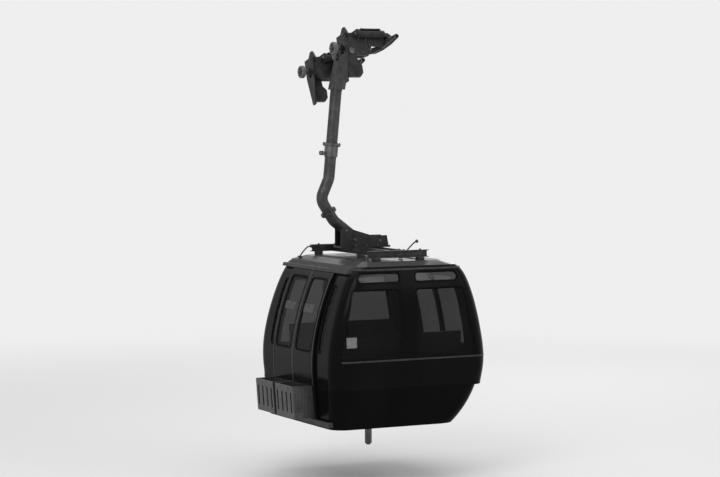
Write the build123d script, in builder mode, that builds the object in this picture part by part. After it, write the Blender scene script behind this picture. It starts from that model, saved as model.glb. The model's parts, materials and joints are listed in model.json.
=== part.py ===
from build123d import *
import os
from math import cos, radians, sin, sqrt

# Ropeway cabin for eight seats, with its swan-neck hanger and its double rope grip.
# The origin is on the rope's axis, midway between the two grip units.
# +X points uphill along the line, +Z up, and the doors are on the -Y side.
# All sizes are in millimetres. A "height" is measured from the underside of the floor pan.

os.makedirs("parts", exist_ok=True)

# Rope and where the cabin hangs under it
rope_height = 4610.0
rope_diameter = 45.0
rope_slope = 17.2
slide_gap = 8.0
fit_gap = 0.3
run_gap = 0.05

# Body sections: height, half width at the back, half width at the door, half length, corner radius
body_rows = [
    (420.0, 1105.0, 1030.0, 1075.0, 190.0),
    (640.0, 1130.0, 1040.0, 1100.0, 200.0),
    (870.0, 1140.0, 1042.0, 1110.0, 200.0),
    (1170.0, 1100.0, 1000.0, 1103.0, 200.0),
    (1470.0, 1035.0, 920.0, 1085.0, 195.0),
    (1720.0, 960.0, 830.0, 1060.0, 190.0),
    (1890.0, 880.0, 745.0, 1035.0, 180.0),
    (2000.0, 770.0, 655.0, 1012.0, 170.0),
]
wall = 40.0
liner_chamfer = 100.0
reach = 2500.0

# Seams between the panels
lip_height = 500.0
belt_height = 845.0
roof_seam = 1960.0
side_seam = 620.0

# Roof cap over the seam, and the beads pressed in it
crown_height = 2050.0
cap_corner = 120.0
cap_inset = 150.0
cap_wall = 30.0
bead_places = [-380.0, 380.0]
bead_half = 650.0
bead_width = 60.0
bead_rise = 10.0

# Underbody pan
pan_wall = 30.0
pan_foot_back = 727.0
pan_mid_back = 945.0
pan_top_back = 1036.0
pan_foot_door = 985.0
pan_foot_end = 1000.0
pan_mid_height = 280.0
pan_flange = 20.0
rim_width = 150.0
floor_height = 110.0

# End windows
mullion = 210.0
window_low = 880.0
window_high = 1720.0
vent_low = 1795.0
vent_high = 1925.0
window_margin_back = 170.0
window_margin_door = 75.0
window_corner = 55.0
glass_depth = 14.0
glass_thickness = 6.0

# Doors
opening_half = 530.0
opening_low = 125.0
opening_high = 1890.0
leaf_width = 560.0
leaf_thickness = 26.0
leaf_low = 105.0
leaf_bend = 520.0
leaf_high = 1905.0
leaf_seam = 6.0
door_travel = 490.0
pane_low = 930.0
pane_high = 1820.0
pane_margin = 60.0
pane_outer = 17.0
pane_inner = 11.0

# Side windows, as X ranges
narrow_from = 610.0
narrow_to = 730.0
narrow_high = 1760.0
back_windows = [(-570.0, -35.0), (35.0, 570.0)]

# Shoes on each leaf, from its closing edge, and the rails they run along
shoe_places = [60.0, 380.0]
shoe_length = 60.0
shoe_thickness = 20.0
rail_height_top = 42.0
rail_low_bottom = 30.0
rail_lip = 14.0
rail_half = leaf_seam / 2 + max(shoe_places) + shoe_length / 2 + door_travel + 10.0

# Ski racks
rack_width = 500.0
rack_front = 1340.0
rack_lean = 30.0
rack_low = 112.0
rack_high = 510.0
rack_bays = 4
rack_wall = 12.0
slot_width = 34.0
slot_height = 250.0

# Benches
seat_height = 430.0
seat_thickness = 60.0
seat_from = 400.0
seat_depth = 450.0
seat_width = 1570.0
seat_middle = 75.0
seat_edge = 60.0
base_step = 60.0
base_end = 150.0
seat_back_foot = 800.0
seat_back_top = 880.0
seat_back_thickness = 35.0
seat_back_high = 1150.0
seat_back_edge = 20.0

# Guide pin
pin_diameter = 90.0
pin_length = 360.0
pin_taper = 25.0
pin_flange = 130.0
pin_flange_thickness = 16.0

# Suspension frame on the roof: two cross rails on rubber buffers, joined by two long beams
roof_rail_x = 800.0
roof_rail_half = 420.0
roof_rail_width = 60.0
roof_rail_low = 2090.0
roof_rail_size = 90.0
channel_web = 10.0
buffer_y = 310.0
buffer_radius = 45.0
beam_y = 110.0
beam_width = 50.0
rail_top = roof_rail_low + roof_rail_size

# Gusseted foot that the hanger stands in
gusset_x = 82.0
gusset_thickness = 16.0
gusset_outline = [
    (-440.0, 2420.0), (-360.0, 2440.0), (10.0, 2330.0), (220.0, 2330.0), (250.0, rail_top),
    (-270.0, rail_top),
]
foot_plate = 25.0
foot_half = 131.0
box_from = 0.0
box_to = 210.0
box_high = 2322.0

# Grip: places along the rope (u), across it (outwards from the rope) and square to both (w)
unit_spacing = 940.0
unit_width = 130.0
beam_in = 240.0
beam_thickness = 50.0
beam_half = (unit_spacing - unit_width) / 2
beam_end_high = 35.0
beam_low = -60.0
beam_crown = 90.0
beam_crown_half = 120.0
beam_flat = 290.0
hub_radius = 75.0
hub_thickness = 25.0
beam_holes = [175.0, 265.0]
beam_hole_radius = 26.0
pin_radius = 32.0
pin_head_radius = 57.0
pin_head_thickness = 25.0
pivot_in = 300.0
pivot_out = 460.0
pivot_gap = 5.0
head_width = 110.0
hub_wall = 43.0
jaw_half = 320.0
jaw_middle = 110.0
jaw_wall = 26.0
jaw_tip = 7.0
arm_out = 600.0
canister_in = 70.0
canister_out = 430.0
canister_u = 108.0
canister_w = 90.0
canister_radius = 48.0
yoke_half = 165.0
yoke_height = 120.0
yoke_thickness = 16.0
plate_in = 120.0
plate_out = 400.0
plate_half = 150.0
plate_thickness = 14.0
lug_in = 546.0
lug_thickness = 26.0
fin_thickness = 18.0
fin_top = 110.0
fin_low = -500.0
fin_half = 110.0
fin_tip = 34.0
fin_slot_half = 30.0
fin_slot_low = -140.0
fin_slot_high = -15.0
roller_in = 700.0
roller_width = 60.0
roller_w = -65.0
roller_diameter = 160.0
axle_in = 640.0
axle_radius = 18.0
axle_head = 12.0
lever_thickness = 40.0
lever_pin_y = -beam_in - beam_thickness / 2
lever_pin_w = -100.0
lever_pin_radius = 12.0
cheek_outline = [
    (-beam_in, 60.0), (-arm_out, 70.0), (-arm_out, -170.0), (-330.0, -170.0), (-beam_in, -145.0),
]
hanging_outline = [
    (-arm_out, -160.0), (-460.0, -160.0), (-450.0, -250.0), (-400.0, -300.0), (-400.0, -400.0),
    (-440.0, -450.0), (-arm_out, -450.0),
]

# Hanger
tube_diameter = 145.0
hanger_offset = 455.0
hanger_top = 4230.0
hanger_bend = 150.0
hanger_route_rows = [(455.0, 4230.0), (565.0, 3060.0), (680.0, 2800.0), (500.0, 2530.0), (60.0, 2200.0)]
collar_share = 0.62
collar_radius = 115.0
collar_thickness = 28.0
collar_sleeve = 14.0
collar_length = 170.0
peg_radius = 14.0
peg_reach = 50.0
peg_drop = 120.0
knob_radius = 28.0
knob_length = 44.0


def level(height):
    """Turn a height over the pan's underside into a Z coordinate."""
    return height - rope_height


def slab(low, high, x_from=-reach, x_to=reach, y_from=-reach, y_to=reach):
    """A box between two heights, for cutting a form into panels."""
    size = (x_to - x_from, y_to - y_from, high - low)
    middle = ((x_from + x_to) / 2, (y_from + y_to) / 2, level((low + high) / 2))
    return Pos(*middle) * Box(*size, mode=Mode.PRIVATE)


def lean_factor(column, index):
    """How much further a leaning wall moves sideways than its thickness says."""
    below = body_rows[max(index - 1, 0)]
    above = body_rows[min(index + 1, len(body_rows) - 1)]
    slope = (above[column] - below[column]) / (above[0] - below[0])
    return sqrt(1 + slope**2)


def row_sizes(index, inset):
    """One row's half widths to the back, the door side and the end, moved inward."""
    return [
        body_rows[index][column] - inset * lean_factor(column, index) for column in (1, 2, 3)
    ]


def half_width(column, height):
    """The body's half width in one column of the table, between its rows."""
    for below, above in zip(body_rows, body_rows[1:]):
        if height <= above[0]:
            share = (height - below[0]) / (above[0] - below[0])
            return below[column] + share * (above[column] - below[column])
    return body_rows[-1][column]


def body_form(inset):
    """The rounded body as a solid, with its surface moved inward by the inset."""
    with BuildPart() as form:
        for index, row in enumerate(body_rows):
            back_y, door_y, end_x = row_sizes(index, inset)
            with BuildSketch(Plane.XY.offset(level(row[0]))):
                with Locations((0, (back_y - door_y) / 2)):
                    RectangleRounded(2 * end_x, back_y + door_y, row[4] - inset)
        loft()
    return form.part


def liner_form():
    """The room inside the walls, with flat sides and cut corners."""
    with BuildPart() as form:
        for index, row in enumerate(body_rows):
            back_y, door_y, end_x = row_sizes(index, wall)
            with BuildSketch(Plane.XY.offset(level(row[0]))) as outline:
                with Locations((0, (back_y - door_y) / 2)):
                    Rectangle(2 * end_x, back_y + door_y)
                chamfer(outline.vertices(), liner_chamfer)
        loft(ruled=True)
    return form.part


def roof_cap():
    """The crowned cap that closes the top of the body."""
    back_y, door_y, end_x = row_sizes(len(body_rows) - 1, 0)
    with BuildPart() as cap:
        with BuildSketch(Plane.XY.offset(level(body_rows[-1][0]))):
            with Locations((0, (back_y - door_y) / 2)):
                RectangleRounded(2 * end_x, back_y + door_y, body_rows[-1][4])
        with BuildSketch(Plane.XY.offset(level(crown_height))):
            with Locations((0, (back_y - door_y) / 2)):
                RectangleRounded(
                    2 * (end_x - cap_inset), back_y + door_y - 2 * cap_inset, cap_corner
                )
        loft()
    return cap.part


def cap_room():
    """The room under the cap, which carries on the room inside the walls."""
    back_y, door_y, end_x = row_sizes(len(body_rows) - 1, wall)
    with BuildPart() as room:
        for height, shrink in ((body_rows[-1][0], 0.0), (crown_height - cap_wall, cap_inset)):
            with BuildSketch(Plane.XY.offset(level(height))) as outline:
                with Locations((0, (back_y - door_y) / 2)):
                    Rectangle(2 * (end_x - shrink), back_y + door_y - 2 * shrink)
                chamfer(outline.vertices(), liner_chamfer)
        loft(ruled=True)
    return room.part


def pan_door_y(height):
    """How far the pan's straight door side stands out at a height."""
    share = height / lip_height
    return pan_foot_door + share * (half_width(2, lip_height) - pan_foot_door)


def pan_form(inset, low, high):
    """The underbody pan as a solid between two heights, moved inward by the inset."""
    top_end = half_width(3, lip_height)
    with BuildSketch(Plane.YZ) as front:
        with BuildLine():
            back = ThreePointArc(
                (pan_foot_back, level(0)),
                (pan_mid_back, level(pan_mid_height)),
                (pan_top_back, level(lip_height)),
            )
            Line(back @ 1, (-pan_door_y(lip_height), level(lip_height)))
            Line((-pan_door_y(lip_height), level(lip_height)), (-pan_foot_door, level(0)))
            Line((-pan_foot_door, level(0)), back @ 0)
        make_face()
        if inset:
            offset(amount=-inset, kind=Kind.INTERSECTION)
    with BuildSketch(Plane.XZ) as side:
        with BuildLine():
            Polyline(
                (-pan_foot_end, level(0)),
                (pan_foot_end, level(0)),
                (top_end, level(lip_height)),
                (-top_end, level(lip_height)),
                close=True,
            )
        make_face()
        if inset:
            offset(amount=-inset, kind=Kind.INTERSECTION)
    with BuildPart() as form:
        extrude(front.sketch, amount=reach, both=True)
        extrude(side.sketch, amount=reach, both=True, mode=Mode.INTERSECT)
        corners = form.edges().filter_by(lambda edge: abs((edge @ 1).Z - (edge @ 0).Z) > 100)
        if inset:
            chamfer(corners, liner_chamfer)
        else:
            fillet(corners, body_rows[0][4])
    return form.part & slab(low, high)


def export(solid, name):
    """Label a finished piece and write it as one STEP file."""
    solid.label = name
    export_step(solid, f"parts/{name}.step")
    print(name, len(solid.solids()), round(solid.volume / 1e6, 3))


def window_prism(low, high, side, shrink=0.0):
    """A window through the uphill end, on the back (1) or door (-1) side of the mullion."""
    column = 1 if side > 0 else 2
    margin = window_margin_back if side > 0 else window_margin_door
    inner_y = side * mullion / 2
    low_y = side * (half_width(column, low) - margin)
    high_y = side * (half_width(column, high) - margin)
    with BuildPart() as prism:
        with BuildSketch(Plane.YZ.offset(side_seam)) as hole:
            with BuildLine():
                Polyline(
                    (inner_y, level(low)),
                    (low_y, level(low)),
                    (high_y, level(high)),
                    (inner_y, level(high)),
                    close=True,
                )
            make_face()
            fillet(hole.vertices(), min(window_corner, 0.4 * (high - low)))
            if shrink:
                offset(amount=-shrink)
        extrude(amount=reach)
    return prism.part


def side_prism(low, high, x_from, x_to, side, shrink=0.0):
    """A window through the back (1) or door (-1) side wall, between two X values."""
    radius = min(window_corner, 0.4 * (x_to - x_from))
    with BuildPart() as prism:
        with BuildSketch(Plane.XZ):
            with Locations(((x_from + x_to) / 2, level((low + high) / 2))):
                RectangleRounded(
                    x_to - x_from - 2 * shrink, high - low - 2 * shrink, radius - shrink
                )
        extrude(amount=-side * reach)
    return prism.part


# Forms that the panels are cut from
outer_form = body_form(0)
room_form = liner_form()
shell = outer_form - room_form
pane_skin = body_form(glass_depth) - body_form(glass_depth + glass_thickness)
opening_block = slab(opening_low, opening_high, -opening_half, opening_half, y_to=0)
door_column = slab(0, reach, -opening_half, opening_half, y_to=0)
back_column = slab(0, reach, -side_seam, side_seam, y_from=0)

end_holes = []
main_panes = []
vent_panes = []
for side in (1, -1):
    end_holes.append(window_prism(window_low, window_high, side))
    end_holes.append(window_prism(vent_low, vent_high, side))
    main_panes.append(pane_skin & window_prism(window_low, window_high, side, fit_gap))
    vent_panes.append(pane_skin & window_prism(vent_low, vent_high, side, fit_gap))
back_holes = []
back_panes = []
for x_from, x_to in back_windows:
    back_holes.append(side_prism(pane_low, pane_high, x_from, x_to, 1))
    back_panes.append(pane_skin & side_prism(pane_low, pane_high, x_from, x_to, 1, fit_gap))
narrow_hole = side_prism(pane_low, narrow_high, narrow_from, narrow_to, -1)
narrow_pane = pane_skin & side_prism(pane_low, narrow_high, narrow_from, narrow_to, -1, fit_gap)

# Skirt panels under the belt
with BuildPart() as skirt_uphill:
    add(shell)
    add(slab(lip_height, belt_height, x_from=0), mode=Mode.INTERSECT)
    add(back_column, mode=Mode.SUBTRACT)
    add(door_column, mode=Mode.SUBTRACT)
export(skirt_uphill.part, "skirt_uphill")

with BuildPart() as skirt_downhill:
    add(mirror(skirt_uphill.part, about=Plane.YZ))
export(skirt_downhill.part, "skirt_downhill")

with BuildPart() as skirt_back:
    add(shell)
    add(slab(lip_height, belt_height, -side_seam, side_seam, y_from=0), mode=Mode.INTERSECT)
export(skirt_back.part, "skirt_back")

# Window frames over the belt, one at each end and one at the back
with BuildPart() as window_frame_uphill:
    add(shell)
    add(slab(belt_height, roof_seam, x_from=0), mode=Mode.INTERSECT)
    add(back_column, mode=Mode.SUBTRACT)
    add(door_column, mode=Mode.SUBTRACT)
    add(end_holes, mode=Mode.SUBTRACT)
    add(narrow_hole, mode=Mode.SUBTRACT)
export(window_frame_uphill.part, "window_frame_uphill")

with BuildPart() as window_frame_downhill:
    add(mirror(window_frame_uphill.part, about=Plane.YZ))
export(window_frame_downhill.part, "window_frame_downhill")

with BuildPart() as window_frame_back:
    add(shell)
    add(slab(belt_height, roof_seam, -side_seam, side_seam, y_from=0), mode=Mode.INTERSECT)
    add(back_holes, mode=Mode.SUBTRACT)
export(window_frame_back.part, "window_frame_back")

# Panes in the frames, a close fit in their openings
with BuildPart() as glass_uphill:
    add(main_panes)
export(glass_uphill.part, "glass_uphill")

with BuildPart() as glass_downhill:
    add(mirror(glass_uphill.part, about=Plane.YZ))
export(glass_downhill.part, "glass_downhill")

with BuildPart() as vents_uphill:
    add(vent_panes)
export(vents_uphill.part, "vent_panes_uphill")

with BuildPart() as vents_downhill:
    add(mirror(vents_uphill.part, about=Plane.YZ))
export(vents_downhill.part, "vent_panes_downhill")

with BuildPart() as glass_sides:
    add(back_panes)
    add(narrow_pane)
    add(mirror(narrow_pane, about=Plane.YZ))
export(glass_sides.part, "glass_sides")

# Door header, which closes the wall over the opening
with BuildPart() as door_header:
    add(shell)
    add(
        slab(opening_high, roof_seam, -opening_half, opening_half, y_to=0),
        mode=Mode.INTERSECT,
    )
export(door_header.part, "door_header")

# Roof: the top of the body with its crowned cap and two pressed beads
roof_blank = (outer_form & slab(roof_seam, reach)) + roof_cap()
roof_room = (room_form & slab(roof_seam - 1, reach)) + cap_room()
with BuildPart() as roof:
    add(roof_blank)
    add(roof_room, mode=Mode.SUBTRACT)
    for bead_y in bead_places:
        with BuildSketch(Plane.XY.offset(level(crown_height))):
            with Locations((0, bead_y)):
                RectangleRounded(2 * bead_half, bead_width, bead_width / 2 - 1)
        extrude(amount=bead_rise, taper=45)
export(roof.part, "roof")

# Underbody pan with its top flange, open at the doorway
pan_outside = pan_form(0, 0, lip_height)
pan_inside = pan_form(pan_wall, pan_wall, lip_height)
pan_rim = outer_form & slab(lip_height - pan_flange, lip_height)
rim_end = half_width(3, lip_height) - rim_width
with BuildPart() as pan:
    add(pan_outside)
    add(pan_rim)
    add(pan_inside, mode=Mode.SUBTRACT)
    add(
        slab(
            lip_height - pan_wall - 1, lip_height + 1, -rim_end, rim_end,
            rim_width - half_width(2, lip_height), pan_top_back - rim_width,
        ),
        mode=Mode.SUBTRACT,
    )
    add(opening_block, mode=Mode.SUBTRACT)
export(pan.part, "underbody_pan")

floor_form = pan_form(pan_wall + fit_gap, pan_wall + fit_gap, floor_height)
with BuildPart() as floor_board:
    add(floor_form)
export(floor_board.part, "floor_board")

# Benches at both ends: a seat on a base, and a back that stands before the window
with BuildPart() as seat_uphill:
    with BuildSketch(Plane.XY.offset(level(seat_height))):
        with Locations((seat_from + seat_depth / 2, seat_middle)):
            RectangleRounded(seat_depth, seat_width, seat_edge)
    extrude(amount=seat_thickness)
    with BuildSketch(Plane.XY.offset(level(floor_height))):
        with Locations((seat_from + seat_depth / 2 + base_step / 2, seat_middle)):
            Rectangle(seat_depth - 2 * base_step, seat_width - 2 * base_end)
    extrude(amount=seat_height - floor_height)
export(seat_uphill.part, "seat_uphill")

with BuildPart() as seat_downhill:
    add(mirror(seat_uphill.part, about=Plane.YZ))
export(seat_downhill.part, "seat_downhill")

with BuildPart() as seat_back_uphill:
    with BuildSketch(Plane.XZ.offset(-seat_middle)):
        with BuildLine():
            Polyline(
                (seat_back_foot, level(seat_height + seat_thickness)),
                (seat_back_foot + seat_back_thickness, level(seat_height + seat_thickness)),
                (seat_back_top + seat_back_thickness, level(seat_back_high)),
                (seat_back_top, level(seat_back_high)),
                close=True,
            )
        make_face()
    extrude(amount=seat_width / 2 - seat_back_edge, both=True)
    fillet(seat_back_uphill.edges().filter_by(Axis.Y).group_by(Axis.Z)[-1], seat_back_thickness / 3)
export(seat_back_uphill.part, "seat_back_uphill")

with BuildPart() as seat_back_downhill:
    add(mirror(seat_back_uphill.part, about=Plane.YZ))
export(seat_back_downhill.part, "seat_back_downhill")

# Door leaves: a skin that runs outside the wall, straight below its bend, with a window
leaf_offset = slide_gap + leaf_thickness
leaf_out_low = pan_door_y(leaf_low) + leaf_offset
leaf_out_bend = half_width(2, leaf_bend) + leaf_offset
leaf_top_y = half_width(2, leaf_high) + slide_gap + leaf_thickness / 2
leaf_skin = body_form(-leaf_offset) - body_form(-slide_gap)
leaf_pane_skin = body_form(-slide_gap - pane_outer) - body_form(-slide_gap - pane_inner)


def door_leaf(x_closing, x_back):
    """One leaf from its closing edge to its back edge, with its window cut out."""
    x_from, x_to = sorted((x_closing, x_back))
    outwards = 1 if x_back > x_closing else -1
    hole = side_prism(pane_low, pane_high, x_from + pane_margin, x_to - pane_margin, -1)
    shoe_height = slide_gap - fit_gap
    with BuildPart() as leaf:
        add(leaf_skin)
        add(slab(leaf_bend, leaf_high, x_from, x_to, y_to=-opening_half / 2), mode=Mode.INTERSECT)
        with BuildSketch(Plane.YZ.offset(x_from)):
            with BuildLine():
                Polyline(
                    (-leaf_out_low, level(leaf_low)),
                    (-leaf_out_low + leaf_thickness, level(leaf_low)),
                    (-leaf_out_bend + leaf_thickness, level(leaf_bend)),
                    (-leaf_out_bend, level(leaf_bend)),
                    close=True,
                )
            make_face()
        extrude(amount=x_to - x_from)
        add(hole, mode=Mode.SUBTRACT)
        for place in shoe_places:
            x = x_closing + outwards * place
            with Locations((x, -leaf_top_y, level(leaf_high + shoe_height / 2))):
                Box(shoe_length, shoe_thickness, shoe_height)
            shoe_y = -leaf_out_low + leaf_thickness / 2
            with Locations((x, shoe_y, level(leaf_low - shoe_height / 2))):
                Box(shoe_length, shoe_thickness, shoe_height)
    return leaf.part


def door_pane(x_closing, x_back):
    """The pane of one leaf, a close fit in its window."""
    x_from, x_to = sorted((x_closing, x_back))
    hole = side_prism(
        pane_low, pane_high, x_from + pane_margin, x_to - pane_margin, -1, fit_gap
    )
    return leaf_pane_skin & hole


def ski_rack(x_middle):
    """An open-topped rack on a leaf, with bays for skis and slots in its front."""
    lean = (leaf_out_bend - leaf_out_low) / (leaf_bend - leaf_low)
    low_y = -leaf_out_low - lean * (rack_low - leaf_low) - fit_gap
    high_y = -leaf_out_low - lean * (rack_high - leaf_low) - fit_gap
    bay_width = rack_width / rack_bays
    bay_front = -rack_front + rack_lean + rack_wall
    bay_back = high_y - rack_wall
    with BuildPart() as rack:
        with BuildSketch(Plane.YZ.offset(x_middle - rack_width / 2)):
            with BuildLine():
                Polyline(
                    (low_y, level(rack_low)),
                    (high_y, level(rack_high)),
                    (-rack_front, level(rack_high)),
                    (-rack_front + rack_lean, level(rack_low)),
                    close=True,
                )
            make_face()
        extrude(amount=rack_width)
        with BuildSketch(Plane.XY.offset(level(rack_low + rack_wall))):
            with Locations((x_middle, (bay_front + bay_back) / 2)):
                with GridLocations(bay_width, 0, rack_bays, 1):
                    Rectangle(bay_width - rack_wall, bay_back - bay_front)
        extrude(amount=rack_high, mode=Mode.SUBTRACT)
        with BuildSketch(Plane.XZ.offset(-bay_front)):
            with Locations((x_middle, level((rack_low + rack_high) / 2))):
                with GridLocations(bay_width, 0, rack_bays, 1):
                    Rectangle(slot_width, slot_height)
        extrude(amount=rack_lean + 2 * rack_wall, mode=Mode.SUBTRACT)
    return rack.part


for name, side in (("uphill", 1), ("downhill", -1)):
    x_closing = side * leaf_seam / 2
    x_back = side * leaf_width
    export(door_leaf(x_closing, x_back), f"door_leaf_{name}")
    export(door_pane(x_closing, x_back), f"door_glass_{name}")
    export(ski_rack((x_closing + x_back) / 2), f"ski_rack_{name}")

# Rails that the leaves hang from and run in
rail_top_out = half_width(2, leaf_high) + leaf_offset + rail_lip
rail_top_in = half_width(2, leaf_high + slide_gap + rail_height_top) - wall / 2
with BuildPart() as door_rail_top:
    with BuildSketch(Plane.YZ.offset(-rail_half)):
        with BuildLine():
            Polyline(
                (-rail_top_out, level(leaf_high + slide_gap)),
                (-rail_top_in, level(leaf_high + slide_gap)),
                (-rail_top_in, level(leaf_high + slide_gap + rail_height_top)),
                (-rail_top_out + rail_lip, level(leaf_high + slide_gap + rail_height_top)),
                close=True,
            )
        make_face()
    extrude(amount=2 * rail_half)
    add(outer_form, mode=Mode.SUBTRACT)
export(door_rail_top.part, "door_rail_top")

with BuildPart() as door_rail_bottom:
    with BuildSketch(Plane.YZ.offset(-rail_half)):
        with BuildLine():
            Polyline(
                (-pan_foot_door + wall / 2, level(rail_low_bottom)),
                (-leaf_out_low, level(rail_low_bottom)),
                (-leaf_out_low - rail_lip, level(leaf_low - slide_gap)),
                (-pan_foot_door + wall / 2, level(leaf_low - slide_gap)),
                close=True,
            )
        make_face()
    extrude(amount=2 * rail_half)
    add(pan_outside, mode=Mode.SUBTRACT)
export(door_rail_bottom.part, "door_rail_bottom")

# Guide pin under the floor
with BuildPart() as guide_pin:
    with BuildSketch(Plane.XZ):
        with BuildLine():
            Polyline(
                (0, level(0)),
                (pin_flange, level(0)),
                (pin_flange, level(-pin_flange_thickness)),
                (pin_diameter / 2, level(-pin_flange_thickness)),
                (pin_diameter / 2, level(-pin_length + pin_taper)),
                (pin_diameter / 2 - pin_taper, level(-pin_length)),
                (0, level(-pin_length)),
                close=True,
            )
        make_face()
    revolve(axis=Axis.Z)
export(guide_pin.part, "guide_pin")

# Suspension frame: cross rails are channels that open outwards, long beams open to the sides
rail_middle = level(roof_rail_low + roof_rail_size / 2)
rail_mouth = roof_rail_size - 2 * channel_web
with BuildPart() as roof_rails:
    for side in (1, -1):
        with Locations((side * roof_rail_x, 0, rail_middle)):
            Box(roof_rail_width, 2 * roof_rail_half, roof_rail_size)
        with Locations((side * (roof_rail_x + channel_web), 0, rail_middle)):
            Box(roof_rail_width, 2 * roof_rail_half + 2, rail_mouth, mode=Mode.SUBTRACT)
    with BuildSketch(Plane.XY.offset(level(crown_height))):
        with GridLocations(2 * roof_rail_x, 2 * buffer_y, 2, 2):
            Circle(buffer_radius)
    extrude(amount=roof_rail_low - crown_height)
export(roof_rails.part, "roof_cross_rails")

with BuildPart() as roof_beam:
    for side in (1, -1):
        with Locations((0, side * beam_y, rail_middle)):
            Box(2 * roof_rail_x - roof_rail_width, beam_width, roof_rail_size)
        with Locations((0, side * (beam_y + channel_web), rail_middle)):
            Box(2 * roof_rail_x, beam_width, rail_mouth, mode=Mode.SUBTRACT)
export(roof_beam.part, "roof_long_beams")

# Gusseted foot: two plates, the base plate they stand on and a flat-topped box between them
with BuildPart() as hanger_foot:
    for x in (-gusset_x, gusset_x):
        with BuildSketch(Plane.YZ.offset(x - gusset_thickness / 2)):
            with BuildLine():
                Polyline(*[(y, level(height)) for y, height in gusset_outline], close=True)
            make_face()
        extrude(amount=gusset_thickness)
    add(
        slab(
            rail_top, rail_top + foot_plate, -foot_half, foot_half,
            gusset_outline[-1][0], gusset_outline[-2][0],
        )
    )
    add(slab(rail_top, box_high, -gusset_x, gusset_x, box_from, box_to))
export(hanger_foot.part, "hanger_foot")

# Swan-neck hanger tube
hanger_route = [(0, -y, level(height)) for y, height in hanger_route_rows]
with BuildPart() as hanger_tube:
    with BuildLine() as route:
        FilletPolyline(*hanger_route, radius=hanger_bend)
    with BuildSketch(Plane(origin=route.line @ 0, z_dir=route.line % 0)):
        Circle(tube_diameter / 2)
    sweep()
    add(hanger_foot.part, mode=Mode.SUBTRACT)
    add(slab(0, rail_top + foot_plate), mode=Mode.SUBTRACT)
export(hanger_tube.part, "hanger_tube")

# Hanger head: a bossed arm from the tube's top to the pivot pin
head_foot = tube_diameter / 2 + 22
with BuildPart() as hanger_head:
    with BuildSketch(Plane.YZ.offset(-head_width / 2)):
        with BuildLine():
            Polyline(
                (-hanger_offset - head_foot, level(hanger_top) - head_foot / 2),
                (-hanger_offset + head_foot, level(hanger_top) - head_foot / 2),
                (-pivot_in, -pin_radius - hub_wall),
                (-pivot_in, pin_radius + hub_wall),
                (-pivot_out, pin_radius + hub_wall),
                (-pivot_out, -pin_radius - hub_wall / 2),
                close=True,
            )
        make_face()
    extrude(amount=head_width)
    with BuildSketch(Plane.XZ.offset(pivot_in)):
        Circle(pin_radius + hub_wall)
    extrude(amount=pivot_out - pivot_in)
    with BuildSketch(Plane.XZ.offset(pivot_in - 1)):
        Circle(pin_radius + run_gap)
    extrude(amount=pivot_out - pivot_in + 2, mode=Mode.SUBTRACT)
    add(hanger_tube.part, mode=Mode.SUBTRACT)
export(hanger_head.part, "hanger_head")

# Flanged collar on the tube, with a knobbed peg on its door side
collar_axis = Vector(*hanger_route[1]) - Vector(*hanger_route[0])
collar_at = Vector(*hanger_route[0]) + collar_axis * collar_share
peg_plane = Plane(origin=collar_at - Vector(0, 0, peg_drop), z_dir=(0, -1, 0))
with BuildPart() as hanger_collar:
    with BuildSketch(Plane(origin=collar_at, z_dir=collar_axis)):
        Circle(collar_radius)
    extrude(amount=collar_thickness)
    with BuildSketch(Plane(origin=collar_at, z_dir=collar_axis)):
        Circle(tube_diameter / 2 + collar_sleeve)
    extrude(amount=collar_length)
    with BuildSketch(peg_plane):
        Circle(peg_radius)
    extrude(amount=tube_diameter / 2 + peg_reach)
    with BuildSketch(peg_plane.offset(tube_diameter / 2 + peg_reach)):
        Circle(knob_radius)
    extrude(amount=knob_length)
    with BuildSketch(Plane(origin=collar_at - collar_axis.normalized() * collar_length, z_dir=collar_axis)):
        Circle(tube_diameter / 2 + fit_gap)
    extrude(amount=3 * collar_length, mode=Mode.SUBTRACT)
export(hanger_collar.part, "hanger_collar")

# The grip stands in the rope's own frame: u along the rope, Y across, w square to both
slope = radians(rope_slope)
rope_line = (cos(slope), 0, sin(slope))
cross_plane = Plane(origin=(0, 0, 0), x_dir=(0, 1, 0), z_dir=rope_line)


def cross_section(u):
    """A plane square to the rope at a place along it, with Y as x and w as y."""
    return cross_plane.offset(u)


def across(place):
    """A plane square to Y at a distance out from the rope, with u as x and w as y."""
    return Plane(origin=(0, -place, 0), x_dir=rope_line, z_dir=(0, -1, 0))


with BuildPart() as grip_beam:
    with BuildSketch(across(beam_in)):
        with BuildLine():
            Polyline(
                (-beam_half, beam_low),
                (beam_half, beam_low),
                (beam_half, beam_end_high),
                (beam_flat, beam_end_high),
                (beam_crown_half, beam_crown),
                (-beam_crown_half, beam_crown),
                (-beam_flat, beam_end_high),
                (-beam_half, beam_end_high),
                close=True,
            )
        make_face()
        for hole_u in beam_holes:
            with Locations([(side * hole_u, (beam_low + beam_end_high) / 2) for side in (1, -1)]):
                Circle(beam_hole_radius, mode=Mode.SUBTRACT)
    extrude(amount=beam_thickness)
    with BuildSketch(across(beam_in - hub_thickness)):
        Circle(hub_radius)
    extrude(amount=hub_thickness)
export(grip_beam.part, "grip_beam")

with BuildPart() as pivot_pin:
    with BuildSketch(across(beam_in + beam_thickness)):
        Circle(pin_radius)
    extrude(amount=pivot_out + pivot_gap + pin_head_thickness - beam_in - beam_thickness)
    with BuildSketch(across(pivot_out + pivot_gap)):
        Circle(pin_head_radius)
    extrude(amount=pin_head_thickness)
export(pivot_pin.part, "pivot_pin")


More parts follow.
